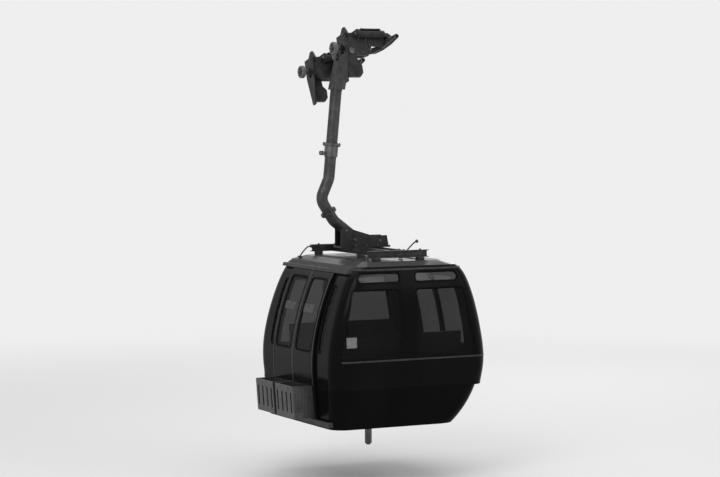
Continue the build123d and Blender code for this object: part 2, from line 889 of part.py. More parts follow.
def grip_body(u):
    """Arch over the rope, arm, cheeks, spring canisters, hanging plate and guide fin of a grip unit."""
    cheek_depth = (unit_width - lever_thickness) / 2 - fit_gap
    leg_out = -beam_in - beam_thickness
    canisters = [(u + side * canister_u, canister_w) for side in (1, -1)]
    with BuildPart() as body:
        with BuildSketch(cross_section(u - unit_width / 2)):
            with BuildLine():
                Polyline(
                    (70, 20),
                    (70, 90),
                    (20, 125),
                    (-230, 132),
                    (-canister_out, 125),
                    (-arm_out, 115),
                    (-arm_out, 70),
                    (leg_out, 60),
                    (leg_out, beam_low),
                    (-beam_in, beam_low),
                    (-beam_in, 60),
                    (-80, 75),
                    (20, 70),
                    (20, 20),
                    close=True,
                )
            make_face()
            Circle(rope_diameter / 2 + jaw_wall + fit_gap, mode=Mode.SUBTRACT)
        extrude(amount=unit_width)
        cheeks = (u - unit_width / 2, u + lever_thickness / 2 + fit_gap)
        for start in cheeks:
            with BuildSketch(cross_section(start)):
                with BuildLine():
                    Polyline(*cheek_outline, close=True)
                make_face()
            extrude(amount=cheek_depth)
        with BuildSketch(cross_section(cheeks[1] if u > 0 else cheeks[0])):
            with BuildLine():
                Polyline(*hanging_outline, close=True)
            make_face()
        extrude(amount=cheek_depth)
        with BuildSketch(cross_section(u - unit_width / 2)):
            with Locations((lever_pin_y, lever_pin_w)):
                Circle(lever_pin_radius)
        extrude(amount=unit_width)
        with BuildSketch(across(canister_in)):
            with Locations(canisters):
                Circle(canister_radius)
        extrude(amount=canister_out - canister_in)
        with BuildSketch(across(canister_out)):
            with Locations((u, canister_w)):
                RectangleRounded(2 * yoke_half, yoke_height, yoke_height / 3)
        extrude(amount=yoke_thickness)
        with BuildSketch(across(plate_in)):
            with Locations((u, canister_w + canister_radius + plate_thickness / 2 - 2)):
                Rectangle(2 * plate_half, plate_thickness)
        extrude(amount=plate_out - plate_in)
        with BuildSketch(across(lug_in)):
            with BuildLine():
                Polyline(
                    (u - 90, 72),
                    (u + 90, 72),
                    (u + 90, 115),
                    (u + 30, 205),
                    (u - 15, 205),
                    (u - 90, 130),
                    close=True,
                )
            make_face()
        extrude(amount=lug_thickness)
        with BuildSketch(across(arm_out)):
            with BuildLine():
                Polyline(
                    (u - fin_half, fin_top),
                    (u + fin_half, fin_top),
                    (u + fin_half, fin_slot_low),
                    (u + fin_tip, fin_low),
                    (u - fin_tip, fin_low),
                    (u - fin_half, fin_slot_low),
                    close=True,
                )
            make_face()
            with Locations((u, (fin_slot_low + fin_slot_high) / 2)):
                Rectangle(2 * fin_slot_half, fin_slot_high - fin_slot_low, mode=Mode.SUBTRACT)
        extrude(amount=fin_thickness)
    return body.part


def jaw(u, start, sweep_angle):
    """A long tapered jaw around part of the rope."""
    radius = rope_diameter / 2
    wedge = 300
    with BuildPart() as shell_part:
        with BuildSketch(cross_section(u - jaw_half)):
            Circle(radius + jaw_tip)
        with BuildSketch(cross_section(u - jaw_middle)):
            Circle(radius + jaw_wall)
        loft()
        with BuildSketch(cross_section(u - jaw_middle)):
            Circle(radius + jaw_wall)
        extrude(amount=2 * jaw_middle)
        with BuildSketch(cross_section(u + jaw_middle)):
            Circle(radius + jaw_wall)
        with BuildSketch(cross_section(u + jaw_half)):
            Circle(radius + jaw_tip)
        loft()
        with BuildSketch(cross_section(u - jaw_half - 1)):
            Circle(radius)
        extrude(amount=2 * jaw_half + 2, mode=Mode.SUBTRACT)
        with BuildSketch(cross_section(u - jaw_half - 1)):
            with BuildLine():
                turns = [radians(start + sweep_angle * share) for share in (0, 0.5, 1)]
                rim = [(wedge * cos(turn), wedge * sin(turn)) for turn in turns]
                Polyline((0, 0), *rim, close=True)
            make_face()
        extrude(amount=2 * jaw_half + 2, mode=Mode.INTERSECT)
    return shell_part.part


def grip_lever(u):
    """Lever from the moving jaw, under the arm, out to the roller's axle."""
    with BuildPart() as lever:
        with BuildSketch(cross_section(u - lever_thickness / 2)):
            with BuildLine():
                Polyline(
                    (-30, -10),
                    (-75, -70),
                    (-200, -130),
                    (-axle_in, roller_w - 40),
                    (-axle_in, roller_w + 35),
                    (-250, -75),
                    (-110, -30),
                    (-70, 40),
                    (-30, 30),
                    close=True,
                )
            make_face()
            Circle(rope_diameter / 2 + jaw_wall + fit_gap, mode=Mode.SUBTRACT)
            with Locations((lever_pin_y, lever_pin_w)):
                Circle(lever_pin_radius + run_gap, mode=Mode.SUBTRACT)
        extrude(amount=lever_thickness)
    return lever.part


def grip_roller(u):
    """Roller at the lever's outer end, turning about Y."""
    with BuildPart() as roller:
        with BuildSketch(across(roller_in)):
            with Locations((u, roller_w)):
                Circle(roller_diameter / 2)
                Circle(axle_radius + run_gap, mode=Mode.SUBTRACT)
        extrude(amount=roller_width)
    return roller.part


def roller_axle(u):
    """Axle on which the roller turns, with a shoulder and a head."""
    roller_out = roller_in + roller_width
    with BuildPart() as axle:
        with BuildSketch(across(axle_in)):
            with Locations((u, roller_w)):
                Circle(axle_radius)
        extrude(amount=roller_out + axle_head - axle_in)
        for place in (roller_in - axle_head - fit_gap, roller_out + fit_gap):
            with BuildSketch(across(place)):
                with Locations((u, roller_w)):
                    Circle(axle_radius + axle_head)
            extrude(amount=axle_head)
    return axle.part


for name, u in (("uphill", unit_spacing / 2), ("downhill", -unit_spacing / 2)):
    export(grip_body(u), f"grip_body_{name}")
    export(jaw(u, -70, 150), f"fixed_jaw_{name}")
    export(jaw(u, 100, 150), f"moving_jaw_{name}")
    export(grip_lever(u), f"grip_lever_{name}")
    export(grip_roller(u), f"grip_roller_{name}")
    export(roller_axle(u), f"roller_axle_{name}")
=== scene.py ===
import json
from collections import defaultdict
from math import cos, pi, radians, sin

import bmesh
import bpy
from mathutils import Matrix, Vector
from mathutils.bvhtree import BVHTree


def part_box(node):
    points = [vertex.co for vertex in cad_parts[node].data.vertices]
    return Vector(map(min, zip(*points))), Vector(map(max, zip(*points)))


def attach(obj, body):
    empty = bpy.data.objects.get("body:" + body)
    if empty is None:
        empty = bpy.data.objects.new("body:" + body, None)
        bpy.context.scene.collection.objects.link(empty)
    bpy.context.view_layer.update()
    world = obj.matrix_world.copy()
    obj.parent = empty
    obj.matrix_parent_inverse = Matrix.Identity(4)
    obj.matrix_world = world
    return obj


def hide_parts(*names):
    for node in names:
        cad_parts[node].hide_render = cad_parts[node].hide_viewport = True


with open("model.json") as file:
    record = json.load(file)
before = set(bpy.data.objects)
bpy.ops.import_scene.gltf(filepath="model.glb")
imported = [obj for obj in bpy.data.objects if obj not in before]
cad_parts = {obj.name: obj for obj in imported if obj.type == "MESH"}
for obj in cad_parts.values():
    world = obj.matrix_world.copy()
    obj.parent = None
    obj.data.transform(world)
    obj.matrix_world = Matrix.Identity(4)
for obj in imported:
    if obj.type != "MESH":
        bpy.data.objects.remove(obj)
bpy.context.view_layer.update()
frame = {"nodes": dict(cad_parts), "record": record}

ENDS = (("uphill", 1), ("downhill", -1))

# Where the photograph was taken from, in metres
CAMERA_PLACE = Vector((25.28, -13.29, -0.68))
CAMERA_AIM = Vector((0.0, -0.12, -2.32))
CAMERA_LENS = 112.0
CAMERA_FAR = 900.0
SENSOR_WIDTH = 36.0

# Stage
FLOOR_Z = -5.35
STAGE_RADIUS = 400.0
STAGE_SIDES = 96
STAGE_FADE_FROM = 5.0
STAGE_FADE_TO = 20.0
BACKDROP = 0.86
FLOOR_COLOUR = 0.80
WORLD_COLOUR = (0.80, 0.80, 0.81, 1.0)
WORLD_STRENGTH = 0.6

# Soft square lamps: (name, place, aim, side, watts)
LAMPS = (
    ("key", (9, -12, 7), (0, 0, -2.5), 8, 900),
    ("fill", (12, 9, 3), (0, 0, -2.5), 8, 350),
    ("top", (0, 0, 9), (0, 0, -2), 12, 700),
    ("behind", (-10, 10, 3), (0, 0, -2.5), 6, 450),
)

# The rope's direction, and the directions across it
ROPE_SLOPE = radians(17.2)
ALONG_ROPE = Vector((cos(ROPE_SLOPE), 0.0, sin(ROPE_SLOPE)))
OUT = Vector((0.0, -1.0, 0.0))
UP_FROM_ROPE = Vector((-sin(ROPE_SLOPE), 0.0, cos(ROPE_SLOPE)))
UP = Vector((0.0, 0.0, 1.0))
ROPE_HEIGHT = 4.610

# What is left between an added piece and the surface it lies on
LIFT = 0.0003


def in_grip(u, out, w):
    """A point given along the rope, out from it towards the doors and square to both."""
    return ALONG_ROPE * u + OUT * out + UP_FROM_ROPE * w


def over_pan(x, y, height):
    """A point given by its height over the pan's underside."""
    return Vector((x, y, height - ROPE_HEIGHT))


# Numbers of a colour Mix node's sockets, which share their names with its other sockets
MIX_FACTOR = 0
MIX_FIRST = 6
MIX_SECOND = 7
MIX_RESULT = 2


class Nodes:
    """A short way to write a material's node tree. Each step gives its output socket."""

    def __init__(self, name):
        self.material = bpy.data.materials.new(name)
        self.material.use_nodes = True
        self.tree = self.material.node_tree
        self.tree.nodes.clear()
        self.out = self.new("ShaderNodeOutputMaterial")
        self.shader = self.new("ShaderNodeBsdfPrincipled")
        self.link(self.shader.outputs["BSDF"], self.out, "Surface")
        coords = self.new("ShaderNodeTexCoord")
        self.place = coords.outputs["Object"]
        self.facing = coords.outputs["Normal"]

    def new(self, kind, **settings):
        node = self.tree.nodes.new(kind)
        for key, value in settings.items():
            setattr(node, key, value)
        return node

    def link(self, source, target, socket):
        self.tree.links.new(source, target.inputs[socket])

    def set(self, **values):
        """Values of the shader that are the same all over."""
        for key, value in values.items():
            self.shader.inputs[key.replace("_", " ")].default_value = value

    def vary(self, **sources):
        """Values of the shader that change over the surface."""
        for key, source in sources.items():
            self.link(source, self.shader, key.replace("_", " "))

    def noise(self, scale, detail, stretch=(1, 1, 1)):
        mapping = self.new("ShaderNodeMapping")
        mapping.inputs["Scale"].default_value = stretch
        self.link(self.place, mapping, "Vector")
        node = self.new("ShaderNodeTexNoise")
        node.inputs["Scale"].default_value = scale
        node.inputs["Detail"].default_value = detail
        self.link(mapping.outputs["Vector"], node, "Vector")
        return node.outputs["Fac"]

    def height(self, vector):
        """A vector's Z."""
        node = self.new("ShaderNodeSeparateXYZ")
        self.link(vector, node, "Vector")
        return node.outputs["Z"]

    def ramp(self, source, *stops):
        """A grey ramp from (place, grey) stops."""
        node = self.new("ShaderNodeValToRGB")
        ramp = node.color_ramp
        while len(ramp.elements) < len(stops):
            ramp.elements.new(0.5)
        for element, (place, colour) in zip(ramp.elements, stops):
            element.position = place
            element.color = (*colour, 1.0)
        self.link(source, node, "Fac")
        return node.outputs["Color"]

    def spread(self, source, start, end, top=1.0, **settings):
        """From 0 to a top value, while a source goes from start to end."""
        node = self.new("ShaderNodeMapRange", **settings)
        self.link(source, node, "Value")
        node.inputs["From Min"].default_value = start
        node.inputs["From Max"].default_value = end
        node.inputs["To Max"].default_value = top
        return node.outputs["Result"]

    def mix(self, factor, first, second):
        """A colour between two others."""
        node = self.new("ShaderNodeMix", data_type="RGBA")
        self.link(factor, node, MIX_FACTOR)
        self.link(first, node, MIX_FIRST)
        self.link(second, node, MIX_SECOND)
        return node.outputs[MIX_RESULT]

    def bump(self, source, strength, distance):
        node = self.new("ShaderNodeBump")
        node.inputs["Strength"].default_value = strength
        node.inputs["Distance"].default_value = distance
        self.link(source, node, "Height")
        self.vary(Normal=node.outputs["Normal"])


def grey(value):
    """A grey with a trace of blue, for colours."""
    return (value, value, value * 1.02)


def plain(value):
    """An even grey, for factors and roughness."""
    return (value, value, value)


def worn_paint(name, dark, light, roughness, specular=0.5):
    """Paint with streaks that run down, specks and an uneven gloss, and on what faces up a
    lighter film that is partly dust and partly a painted sheen of the sky's light.
    """
    nodes = Nodes(name)
    streaks = nodes.noise(scale=2.4, detail=7.0, stretch=(1.0, 1.0, 0.16))
    specks = nodes.noise(scale=70.0, detail=3.0)
    cloud = nodes.noise(scale=6.0, detail=8.0)
    paint = nodes.ramp(streaks, (0.30, grey(dark)), (0.78, grey(light)))
    film = nodes.ramp(specks, (0.0, grey(light * 2.2)), (1.0, grey(light * 3.0)))
    speckled = nodes.mix(nodes.ramp(specks, (0.62, plain(0.0)), (0.80, plain(0.22))), paint, film)
    # A lighter film on faces that look up: partly dust, partly a painted sheen standing in for
    # the sky's light on the roof.
    dust = nodes.ramp(specks, (0.2, grey(0.05)), (0.8, grey(0.11)))
    dust_and_top_sheen = nodes.ramp(nodes.height(nodes.facing), (0.45, plain(0.0)), (0.98, plain(0.75)))
    gloss = nodes.ramp(cloud, (0.35, plain(roughness * 0.75)), (0.7, plain(roughness * 1.4)))
    nodes.vary(Base_Color=nodes.mix(dust_and_top_sheen, speckled, dust), Roughness=gloss)
    nodes.bump(specks, strength=0.05, distance=0.0006)
    nodes.set(Specular_IOR_Level=specular)
    return nodes.material


def bare_metal(name, dark, light, roughness, painted_shade_below=None):
    """Galvanised or bare metal with spangle, rubbed patches and run-down dirt.

    Below the first of two heights it gets darker, a painted shade, down to the second.
    """
    nodes = Nodes(name)
    patches = nodes.noise(scale=14.0, detail=9.0)
    runs = nodes.noise(scale=9.0, detail=7.0, stretch=(1.0, 1.0, 0.10))
    fine = nodes.noise(scale=126.0, detail=4.0)
    cells = nodes.new("ShaderNodeTexVoronoi")
    cells.inputs["Scale"].default_value = 75.0
    nodes.link(nodes.place, cells, "Vector")
    middle = (dark + light) / 2
    worn = nodes.ramp(patches, (0.28, grey(dark)), (0.5, grey(middle)), (0.74, grey(light)))
    spangle = nodes.ramp(cells.outputs["Color"], (0.2, plain(0.0)), (0.9, plain(0.35)))
    bright = nodes.ramp(patches, (0.3, grey(light)), (0.7, grey(light * 1.25)))
    dirt = nodes.ramp(runs, (0.48, plain(0.0)), (0.80, plain(0.6)))
    grime_and_shade = nodes.ramp(patches, (0.3, grey(dark * 0.45)), (0.7, grey(dark * 0.7)))
    colour = nodes.mix(dirt, nodes.mix(spangle, worn, bright), grime_and_shade)
    # Painted shade: darker towards the bottom between two heights, in the same dark colour as the
    # grime.
    if painted_shade_below:
        painted_shade_low = nodes.spread(nodes.height(nodes.place), *painted_shade_below, top=0.8)
        colour = nodes.mix(painted_shade_low, colour, grime_and_shade)
    gloss = nodes.ramp(fine, (0.3, plain(roughness * 0.8)), (0.8, plain(roughness * 1.3)))
    nodes.vary(Base_Color=colour, Roughness=gloss)
    nodes.bump(fine, strength=0.12, distance=0.001)
    nodes.set(Metallic=0.7)
    return nodes.material


def pane_glass(name, tint, alpha, specular):
    """Acrylic pane with dust that gathers in streaks."""
    nodes = Nodes(name)
    streaks = nodes.noise(scale=3.5, detail=6.0, stretch=(1.0, 1.0, 0.3))
    colour = nodes.ramp(streaks, (0.3, grey(tint)), (0.8, grey(tint * 1.5)))
    gloss = nodes.ramp(streaks, (0.35, plain(0.03)), (0.8, plain(0.14)))
    nodes.vary(Base_Color=colour, Roughness=gloss)
    nodes.set(Alpha=alpha, Specular_IOR_Level=specular)
    return nodes.material


def rubber(name, dark, light, specular=0.5):
    """Dull rubber or film with a dusty skin."""
    nodes = Nodes(name)
    dust = nodes.noise(scale=20.0, detail=6.0)
    nodes.vary(Base_Color=nodes.ramp(dust, (0.4, grey(dark)), (0.8, grey(light))))
    nodes.bump(dust, strength=0.15, distance=0.001)
    nodes.set(Roughness=0.75, Specular_IOR_Level=specular)
    return nodes.material


def greased_casting(name, dark, light):
    """A dark casting with rough sand-cast skin and greasy, dusty patches."""
    nodes = Nodes(name)
    patches = nodes.noise(scale=9.0, detail=8.0)
    skin = nodes.noise(scale=120.0, detail=5.0)
    colour = nodes.ramp(patches, (0.32, grey(dark)), (0.7, grey(light)))
    grease = nodes.ramp(patches, (0.35, plain(0.28)), (0.6, plain(0.62)))
    nodes.vary(Base_Color=colour, Roughness=grease)
    nodes.bump(skin, strength=0.25, distance=0.0015)
    nodes.set(Specular_IOR_Level=0.18)
    return nodes.material


# Looks: a material slot or a make of one, what makes it and the maker's values in order
LOOKS = (
    ("body_paint", worn_paint, 0.0028, 0.0058, 0.16, 0.045),
    ("pan_paint", worn_paint, 0.0024, 0.0052, 0.22, 0.03),
    ("door_paint", worn_paint, 0.006, 0.012, 0.18, 0.05),
    ("tinted_glass", pane_glass, 0.006, 0.56, 0.07),
    ("clear_glass", pane_glass, 0.05, 0.50, 0.2),
    # The hanger steel's last pair: the heights over which it darkens downwards, a painted shade
    # on its foot.
    ("hanger_steel", bare_metal, 0.028, 0.070, 0.48, (-1.80, -2.25)),
    ("rail_metal", bare_metal, 0.020, 0.050, 0.50),
    ("rack_metal", bare_metal, 0.050, 0.100, 0.45),
    ("grip_steel", greased_casting, 0.010, 0.032),
    ("bright_steel", bare_metal, 0.045, 0.13, 0.38),
    ("roller_rubber", rubber, 0.008, 0.022),
    ("gasket_rubber", rubber, 0.003, 0.008, 0.05),
    ("plate_film", rubber, 0.15, 0.24, 0.2),
    ("sign_film", rubber, 0.06, 0.10, 0.2),
    ("tyre_rubber", rubber, 0.09, 0.17, 0.3),
    ("seat_shell", worn_paint, 0.025, 0.045, 0.45),
    ("floor_rubber", rubber, 0.03, 0.07),
)
MATERIALS = {name: make(name, *values) for name, make, *values in LOOKS}


def dress_nodes():
    """Every CAD node gets its slot's material."""
    for row in frame["record"]["subparts"]:
        piece = frame["nodes"][row["node"]]
        piece.data.materials.clear()
        piece.data.materials.append(MATERIALS[row["material_slot"]])


def spokes(axis, count, turn=0.0):
    """Directions evenly round an axis of length 1, square to it."""
    side = axis.orthogonal().normalized()
    other = axis.cross(side)
    angles = [turn + 2 * pi * step / count for step in range(count)]
    return [side * cos(angle) + other * sin(angle) for angle in angles]


def round_profile(radius, sides, flatness=1.0):
    """A circle or an oval, as (sideways, outwards) points."""
    angles = [2 * pi * step / sides for step in range(sides)]
    return [(radius * cos(angle), radius * flatness * sin(angle)) for angle in angles]


# A bolt of size 1: (start up its axis, (radius, height) outline, turns) of its washer, its
# chamfered hexagon head and the end of its thread
BOLT_FORMS = (
    (0.0, ((1.15, 0.0), (1.15, 0.16), (1.08, 0.2)), 20),
    (0.18, ((1.0, 0.0), (1.0, 0.66), (0.86, 0.8)), 6),
    (0.9, ((0.5, 0.0), (0.5, 0.35), (0.42, 0.42)), 12),
)
ROD_STEPS = 6
ROD_SIDES = 12


class Shape:
    """Vertices and faces gathered from several simple forms, made into one piece."""

    def __init__(self):
        self.verts = []
        self.faces = []

    def add(self, verts, faces):
        start = len(self.verts)
        self.verts += verts
        self.faces += [tuple(start + i for i in face) for face in faces]

    def loft(self, loops, closed=False):
        """A skin over loops of equal length, capped at both ends or joined into a ring."""
        rows, width = len(loops), len(loops[0])
        faces = []
        for row in range(rows if closed else rows - 1):
            here, there = row * width, (row + 1) % rows * width
            for i in range(width):
                j = (i + 1) % width
                faces.append((here + i, here + j, there + j, there + i))
        if not closed:
            faces.append(tuple(range(width)))
            faces.append(tuple((rows - 1) * width + i for i in reversed(range(width))))
        self.add([point for loop in loops for point in loop], faces)

    def lathe(self, place, axis, outline, turns=32):
        """A closed form turned about an axis, from (radius, height) points up the axis."""
        axis = axis.normalized()
        around = spokes(axis, turns)
        self.loft([
            [place + axis * height + spoke * radius for spoke in around]
            for radius, height in outline
        ])

    def ring(self, place, axis, outline, turns):
        """A ring turned about an axis from a closed (radius, height) outline."""
        axis = axis.normalized()
        self.loft([
            [place + axis * height + spoke * radius for radius, height in outline]
            for spoke in spokes(axis, turns)
        ], closed=True)

    def bolt(self, place, axis, size):
        axis = axis.normalized()
        for start, outline, turns in BOLT_FORMS:
            scaled = [(radius * size, height * size) for radius, height in outline]
            self.lathe(place + axis * size * start, axis, scaled, turns)

    def bolt_circle(self, centre, axis, radius, count, size, turn=0.0):
        """Bolts on a circle around an axis."""
        for spoke in spokes(axis.normalized(), count, turn):
            self.bolt(centre + spoke * radius, axis, size)

    def rod(self, points, radius):
        """A round rod along a run of points, smooth at the bends."""
        fine = []
        for i, (first, second) in enumerate(zip(points, points[1:])):
            before = points[max(i - 1, 0)]
            after = points[min(i + 2, len(points) - 1)]
            for step in range(ROD_STEPS):
                t = step / ROD_STEPS
                fine.append(0.5 * (
                    2 * first + (second - before) * t
                    + (2 * before - 5 * first + 4 * second - after) * t**2
                    + (3 * first - before - 3 * second + after) * t**3
                ))
        fine.append(points[-1])
        side = (fine[1] - fine[0]).orthogonal()
        self.sweep(fine, [side] * len(fine), round_profile(radius, ROD_SIDES))

    def sweep(self, points, normals, profile, closed=False):
        """A profile of (sideways, outwards) points carried along a run of points."""
        count = len(points)
        loops = []
        for i, (point, normal) in enumerate(zip(points, normals)):
            before = points[i - 1] if closed or i > 0 else point
            after = points[(i + 1) % count] if closed or i < count - 1 else point
            along = (after - before).normalized()
            out = (normal - along * normal.dot(along)).normalized()
            side = along.cross(out)
            loops.append([point + side * sideways + out * rise for sideways, rise in profile])
        self.loft(loops, closed)

    def block(self, low, high, bevel):
        """A box with its upright edges and its top's edges cut."""
        x0, y0, z0 = low
        x1, y1, z1 = high
        outline = [
            (x0 + bevel, y0), (x1 - bevel, y0), (x1, y0 + bevel), (x1, y1 - bevel),
            (x1 - bevel, y1), (x0 + bevel, y1), (x0, y1 - bevel), (x0, y0 + bevel),
        ]
        middle_x, middle_y = (x0 + x1) / 2, (y0 + y1) / 2
        self.loft([
            [
                Vector((
                    x + (inset if x < middle_x else -inset),
                    y + (inset if y < middle_y else -inset),
                    z,
                ))
                for x, y in outline
            ]
            for z, inset in ((z0, 0.0), (z1 - bevel, 0.0), (z1, bevel))
        ])

    def shell(self, rows, columns, point):
        """A closed shell between two layers of points, each a grid.

        A layer's point is point(layer, row, column), with 0 and 1 as the layers.
        """
        width = columns + 1
        size = width * (rows + 1)
        faces = []
        for row in range(rows):
            for column in range(columns):
                corner = row * width + column
                quad = (corner, corner + 1, corner + width + 1, corner + width)
                faces.append(tuple(reversed(quad)))
                faces.append(tuple(size + i for i in quad))
        rim = list(range(columns)) + [row * width + columns for row in range(rows)]
        rim += [size - 1 - i for i in range(columns)] + [(rows - i) * width for i in range(rows)]
        for i, here in enumerate(rim):
            there = rim[(i + 1) % len(rim)]
            faces.append((here, there, size + there, size + here))
        verts = [
            point(layer, row, column)
            for layer in (0, 1) for row in range(rows + 1) for column in range(width)
        ]
        self.add(verts, faces)

    def piece(self, name, body, slot, smooth_under=40.0, look=None):
        """The mesh of it all, riding on a body, smooth where its faces meet at a small angle.

        Its look is its slot's, or a lighter or darker make of it.
        """
        mesh = bpy.data.meshes.new(name)
        mesh.from_pydata([tuple(vert) for vert in self.verts], [], self.faces)
        work = bmesh.new()
        work.from_mesh(mesh)
        bmesh.ops.recalc_face_normals(work, faces=work.faces)
        work.to_mesh(mesh)
        work.free()
        mesh.polygons.foreach_set("use_smooth", [True] * len(mesh.polygons))
        mesh.set_sharp_from_angle(angle=radians(smooth_under))
        mesh.materials.append(MATERIALS[look or slot])
        piece = bpy.data.objects.new(name, mesh)
        bpy.context.scene.collection.objects.link(piece)
        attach(piece, body)
        return piece


MERGE_UNDER = 1e-5
SAME_PLACE = 1e-4
SHARP_OVER = radians(40)


def edge_runs(node, keep):
    """Runs of points along a node's sharp edges, with the normal of the face that a rule keeps.

    Gives a list of (points, normals, closed).
    """
    mesh = bmesh.new()
    mesh.from_mesh(frame["nodes"][node].data)
    bmesh.ops.remove_doubles(mesh, verts=mesh.verts, dist=MERGE_UNDER)
    links = defaultdict(list)
    normals = defaultdict(Vector)
    for edge in mesh.edges:
        if len(edge.link_faces) != 2:
            continue
        first, second = edge.link_faces
        if first.normal.angle(second.normal, 0.0) < SHARP_OVER:
            continue
        for face in (first, second):
            if keep(edge, face):
                a, b = edge.verts
                links[a].append(b)
                links[b].append(a)
                normals[a] += face.normal
                normals[b] += face.normal
                break
    runs = []
    left = set(links)
    while left:
        ends = [vert for vert in left if len(links[vert]) == 1]
        order = [min(ends or left, key=lambda vert: tuple(vert.co))]
        left.discard(order[0])
        while True:
            onward = [vert for vert in links[order[-1]] if vert in left]
            if not onward:
                break
            order.append(onward[0])
            left.discard(onward[0])
        closed = len(order) > 2 and order[0] in links[order[-1]]
        points = [vert.co.copy() for vert in order]
        outward = [normals[vert].normalized() for vert in order]
        runs.append((points, outward, closed))
    mesh.free()
    return runs


def turned_outwards(points, normals):
    """The same closed run, in the order whose sideways direction leaves its middle."""
    middle = sum(points, Vector()) / len(points)
    spin = 0.0
    for i, point in enumerate(points):
        spin += (point - points[i - 1]).cross(normals[i]).dot(point - middle)
    if spin < 0:
        points.reverse()
        normals.reverse()
    return points, normals


# How far a pane's outer face lies behind its frame's
WALL_STEP = 0.014
LEAF_STEP = 0.009


def gasket_profile(rise):
    """A rubber glazing bead from the pane up over the edge of its frame."""
    return [
        (-0.017, LIFT), (-0.015, 0.0045), (-0.006, rise * 0.7), (0.0, rise + 0.0022),
        (0.006, rise + 0.0028), (0.010, rise + 0.0014), (0.0105, rise + LIFT),
        (0.0004, rise + LIFT), (0.0002, LIFT),
    ]


def gaskets(name, node, body, facing, rise):
    """Beads around the outer edge of every pane of a node that faces one way."""
    shape = Shape()
    for points, normals, closed in edge_runs(node, lambda _, face: face.normal.dot(facing) > 0.6):
        if closed:
            shape.sweep(*turned_outwards(points, normals), gasket_profile(rise), closed=True)
    shape.piece(name, body, "roller_rubber", look="gasket_rubber")


def glazing():
    """Rubber beads around all the panes."""
    for end, sign in ENDS:
        out = Vector((sign, 0.0, 0.0))
        gaskets(f"end_gaskets_{end}", f"glass_{end}", "cabin", out, WALL_STEP)
        gaskets(f"vent_gaskets_{end}", f"vent_panes_{end}", "cabin", out, WALL_STEP)
        gaskets(f"door_gasket_{end}", f"door_glass_{end}", f"door_{end}", OUT, LEAF_STEP)
    gaskets("back_gaskets", "glass_sides", "cabin", -OUT, WALL_STEP)
    gaskets("narrow_gaskets", "glass_sides", "cabin", OUT, WALL_STEP)


BELT_HALF = 0.011
BELT_RISE = 0.003
GUTTER_HALF = 0.012
GUTTER_RISE = 0.008
DOORS_FROM_Y = -0.93


def level_strip(name, node, z, half, rise):
    """An aluminium strip that follows a panel's outer edge at one height, up to the doors."""

    def keep(edge, face):
        if any(abs(vert.co.z - z) >= SAME_PLACE for vert in edge.verts):
            return False
        middle = (edge.verts[0].co + edge.verts[1].co) / 2
        outward = Vector((middle.x, middle.y, 0.0)).normalized()
        upright = abs(face.normal.z) < 0.9
        return upright and outward.dot(face.normal) > 0.55 and middle.y > DOORS_FROM_Y

    profile = [(-half, LIFT), (-half * 0.75, rise), (half * 0.75, rise), (half, LIFT)]
    shape = Shape()
    for points, normals, closed in edge_runs(node, keep):
        shape.sweep(points, normals, profile, closed)
    shape.piece(name, "cabin", "rail_metal")


def body_strips():
    """The belt strip round the ends and the back, and the roof's gutter."""
    belt_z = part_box("skirt_uphill")[1].z
    for side in ("uphill", "downhill", "back"):
        level_strip(f"belt_strip_{side}", f"skirt_{side}", belt_z, BELT_HALF, BELT_RISE)
    level_strip("roof_gutter", "roof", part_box("roof")[0].z, GUTTER_HALF, GUTTER_RISE)


LEAF_TRIM = 0.018
LEAF_TRIM_RISE = 0.003
SEAL_REACH = 0.0027
SEAL_DEPTH = 0.012


def upright_run(node, x):
    """The outer face's edge of a door leaf at one X, from bottom to top."""

    def keep(edge, face):
        at_x = all(abs(vert.co.x - x) < SAME_PLACE for vert in edge.verts)
        return at_x and face.normal.y < -0.6 and abs(face.normal.x) < 0.3

    points, normals, _ = max(edge_runs(node, keep), key=lambda run: len(run[0]))
    if points[0].z > points[-1].z:
        points.reverse()
        normals.reverse()
    return points, normals


def door_trims():
    """Aluminium edge strips and rubber closing seals on the leaves."""
    for end, sign in ENDS:
        leaf = f"door_leaf_{end}"
        low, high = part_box(leaf)
        closing_x, back_x = (low.x, high.x) if sign > 0 else (high.x, low.x)
        closing = upright_run(leaf, closing_x)
        trims = Shape()
        for run, inwards in ((closing, sign), (upright_run(leaf, back_x), -sign)):
            inner = inwards * LEAF_TRIM
            trims.sweep(*run, [
                (0.0, LIFT), (0.0, LEAF_TRIM_RISE), (inner, LEAF_TRIM_RISE), (inner, LIFT),
            ])
        trims.piece(f"leaf_trims_{end}", f"door_{end}", "rail_metal")
        reach = -sign * SEAL_REACH
        seal = Shape()
        seal.sweep(*closing, [
            (0.0, -SEAL_DEPTH), (0.0, 0.002), (reach * 0.6, 0.0015), (reach, -0.002),
            (reach, -SEAL_DEPTH),
        ])
        seal.piece(f"closing_seal_{end}", f"door_{end}", "roller_rubber", look="gasket_rubber")


# Webs that carry the hanger's gussets down to the roof frame: (Y, height over the pan)
WEB_X = 0.082
WEB_THICKNESS = 0.012
WEB_OUTLINE = ((-0.436, 2.415), (-0.436, 2.186), (-0.262, 2.186))
WEB_FLANGE_LOW = (-WEB_X - 0.030, -0.446, 2.182)
WEB_FLANGE_HIGH = (WEB_X + 0.030, -0.120, 2.205)


def foot_webs():
    """Three-cornered webs under the hanger's outer edge, on a flange."""
    shape = Shape()
    for sign in (1, -1):
        shape.loft([
            [over_pan(sign * WEB_X + side, y, height) for y, height in WEB_OUTLINE]
            for side in (-WEB_THICKNESS / 2, WEB_THICKNESS / 2)
        ])
    shape.block(over_pan(*WEB_FLANGE_LOW), over_pan(*WEB_FLANGE_HIGH), 0.006)
    shape.piece("foot_webs", "cabin", "hanger_steel")


# Along the hanger's centre line, as in the frame
HANGER_TOP = over_pan(0.0, -0.455, 4.230)
HANGER_KNEE = over_pan(0.0, -0.565, 3.060)
HANGER_ELBOW = over_pan(0.0, -0.680, 2.800)
HANGER_LOW_KNEE = over_pan(0.0, -0.500, 2.530)
TUBE_RADIUS = 0.0725

